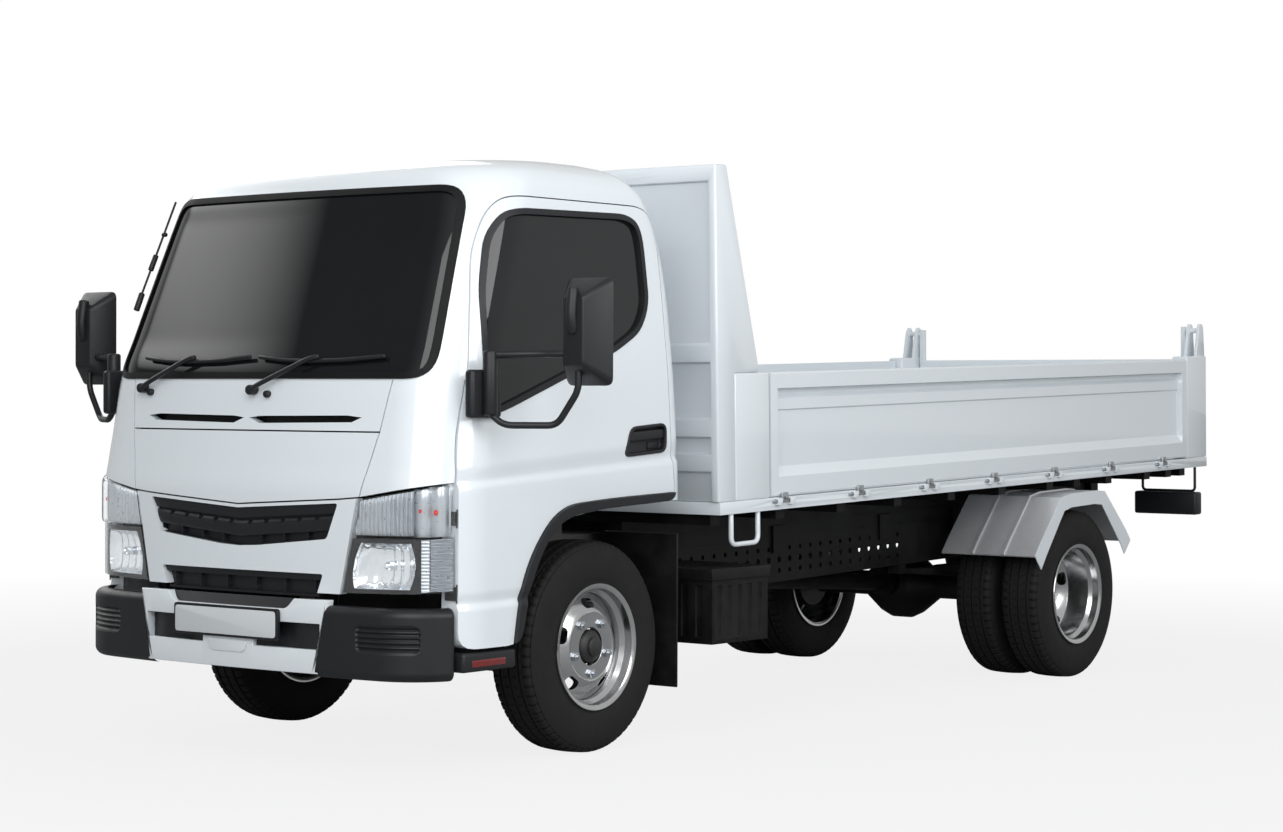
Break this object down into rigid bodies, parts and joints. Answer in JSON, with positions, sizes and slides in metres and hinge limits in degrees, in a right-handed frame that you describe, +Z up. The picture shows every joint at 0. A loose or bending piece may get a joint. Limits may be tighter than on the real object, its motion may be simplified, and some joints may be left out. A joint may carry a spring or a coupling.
{
  "type": "dump truck",
  "caption": "Light cab-over drop-side tipper truck with a tilting cab, hinged doors, steered front wheels, twin rear wheels and a hoisted bed with folding gates.",
  "frame": {"origin": "centre of the bounding box's base, on the ground", "axes": "the truck faces -Y, its left side is +X, +Z is up"},
  "size_m": [2.51, 5.6492, 2.0551],
  "materials": {
    "white_paint": "gloss",
    "chassis_black": "satin",
    "black_plastic": "textured matte",
    "engine_iron": "cast",
    "silencer_steel": "dull",
    "guard_steel": "satin",
    "cabin_trim": "matte",
    "seat_cloth": "woven",
    "lamp_lens": "clear",
    "tinted_glass": "tinted",
    "wheel_steel": "polished",
    "tyre_rubber": "matte",
    "hoist_steel": "ground"
  },
  "bodies": {
    "chassis": {"frame_rails": "chassis_black", "cross_members": "chassis_black", "subframe": "chassis_black", "engine": "engine_iron", "drive_shaft": "chassis_black", "front_axle": "chassis_black", "rear_axle": "chassis_black", "leaf_springs": "chassis_black", "battery_box": "black_plastic", "fuel_tank": "chassis_black", "exhaust": "silencer_steel", "front_bumper": "white_paint", "bumper_corners": "black_plastic", "front_mudguards": "black_plastic", "rear_mudguards": "guard_steel"},
    "cab": {"cab_shell": "white_paint", "cab_floor": "cabin_trim", "front_panel": "white_paint", "corner_panels": "white_paint", "grille_panel": "white_paint", "grille": "black_plastic", "headlamps": "lamp_lens", "cab_glass": "tinted_glass", "wipers": "black_plastic", "seats": "seat_cloth", "dashboard": "cabin_trim", "steering_column": "cabin_trim", "sills": "black_plastic"},
    "steering": {"steering_wheel": "cabin_trim"},
    "door_left": {"left_door": "white_paint", "left_door_glass": "tinted_glass", "left_door_trim": "black_plastic", "left_mirror": "black_plastic"},
    "door_right": {"right_door": "white_paint", "right_door_glass": "tinted_glass", "right_door_trim": "black_plastic", "right_mirror": "black_plastic"},
    "knuckle_left": {"left_knuckle": "chassis_black"},
    "knuckle_right": {"right_knuckle": "chassis_black"},
    "wheel_front_left": {"front_left_rim": "wheel_steel", "front_left_tyre": "tyre_rubber"},
    "wheel_front_right": {"front_right_rim": "wheel_steel", "front_right_tyre": "tyre_rubber"},
    "wheels_rear_left": {"rear_left_rims": "wheel_steel", "rear_left_tyres": "tyre_rubber"},
    "wheels_rear_right": {"rear_right_rims": "wheel_steel", "rear_right_tyres": "tyre_rubber"},
    "bed": {"bed_floor": "white_paint", "bed_sills": "chassis_black", "bed_posts": "white_paint", "headboard": "white_paint", "rear_lamps": "black_plastic", "step_loops": "white_paint"},
    "side_left": {"left_gate": "white_paint"},
    "side_right": {"right_gate": "white_paint"},
    "tail": {"tailgate": "white_paint"},
    "barrel": {"hoist_barrel": "chassis_black"},
    "sleeve": {"hoist_sleeve": "hoist_steel"},
    "ram": {"hoist_rod": "hoist_steel"}
  },
  "joints": [
    {"name": "cab_tilt", "type": "hinge", "parent": "chassis", "child": "cab", "pos_m": [0, -2.6996, 0.58], "axis": [1, 0, 0], "range_deg": [0, 45]},
    {"name": "steer_left", "type": "hinge", "parent": "chassis", "child": "knuckle_left", "pos_m": [0.585, -1.8396, 0.3645], "axis": [0, 0, 1], "range_deg": [-35, 35]},
    {"name": "steer_right", "type": "hinge", "parent": "chassis", "child": "knuckle_right", "pos_m": [-0.585, -1.8396, 0.3645], "axis": [0, 0, 1], "range_deg": [-35, 35]},
    {"name": "steering_turn", "type": "hinge", "parent": "cab", "child": "steering", "pos_m": [-0.37, -2.2796, 1.205], "axis": [0, 0.5299, 0.848], "range_deg": [-600, 600]},
    {"name": "front_left_spin", "type": "hinge", "parent": "knuckle_left", "child": "wheel_front_left", "pos_m": [0.7, -1.8396, 0.3645], "axis": [1, 0, 0], "continuous": true},
    {"name": "front_right_spin", "type": "hinge", "parent": "knuckle_right", "child": "wheel_front_right", "pos_m": [-0.7, -1.8396, 0.3645], "axis": [1, 0, 0], "continuous": true},
    {"name": "rear_left_spin", "type": "hinge", "parent": "chassis", "child": "wheels_rear_left", "pos_m": [0.671, 1.4304, 0.3645], "axis": [1, 0, 0], "continuous": true},
    {"name": "rear_right_spin", "type": "hinge", "parent": "chassis", "child": "wheels_rear_right", "pos_m": [-0.671, 1.4304, 0.3645], "axis": [1, 0, 0], "continuous": true},
    {"name": "left_door_swing", "type": "hinge", "parent": "cab", "child": "door_left", "pos_m": [0.8165, -2.6086, 1], "axis": [0, 0, -1], "range_deg": [0, 70]},
    {"name": "right_door_swing", "type": "hinge", "parent": "cab", "child": "door_right", "pos_m": [-0.8165, -2.6086, 1], "axis": [0, 0, 1], "range_deg": [0, 70]},
    {"name": "bed_tilt", "type": "hinge", "parent": "chassis", "child": "bed", "pos_m": [0, 2.54181, 0.79959], "axis": [-1, 0, 0], "range_deg": [0, 50]},
    {"name": "left_gate_drop", "type": "hinge", "parent": "bed", "child": "side_left", "pos_m": [0.826, 0.87943, 0.87413], "axis": [0, 0.9997, 0.025], "range_deg": [0, 115]},
    {"name": "right_gate_drop", "type": "hinge", "parent": "bed", "child": "side_right", "pos_m": [-0.826, 0.87943, 0.87413], "axis": [0, -0.9997, -0.025], "range_deg": [0, 115]},
    {"name": "tailgate_swing", "type": "hinge", "parent": "bed", "child": "tail", "pos_m": [0, 2.77551, 1.53565], "axis": [1, 0, 0], "range_deg": [0, 75]},
    {"name": "hoist_swing", "type": "hinge", "parent": "chassis", "child": "barrel", "pos_m": [0, 1.95198, 0.38474], "axis": [-1, 0, 0], "range_deg": [0, 28.63]},
    {"name": "sleeve_slide", "type": "slide", "parent": "barrel", "child": "sleeve", "axis": [0, -0.3903, 0.9207], "range_m": [0, 0.2813]},
    {"name": "ram_slide", "type": "slide", "parent": "sleeve", "child": "ram", "axis": [0, -0.3903, 0.9207], "range_m": [0, 0.2813]}
  ],
  "couplings": [
    {"joint": "steer_right", "follows": "steer_left", "ratio": 1},
    {"joint": "steering_turn", "follows": "steer_left", "ratio": 17},
    {"joint": "hoist_swing", "follows": "bed_tilt", "ratio": 0.5526},
    {"joint": "sleeve_slide", "follows": "bed_tilt", "m_per_rad": 0.32005},
    {"joint": "ram_slide", "follows": "bed_tilt", "m_per_rad": 0.32005}
  ]
}
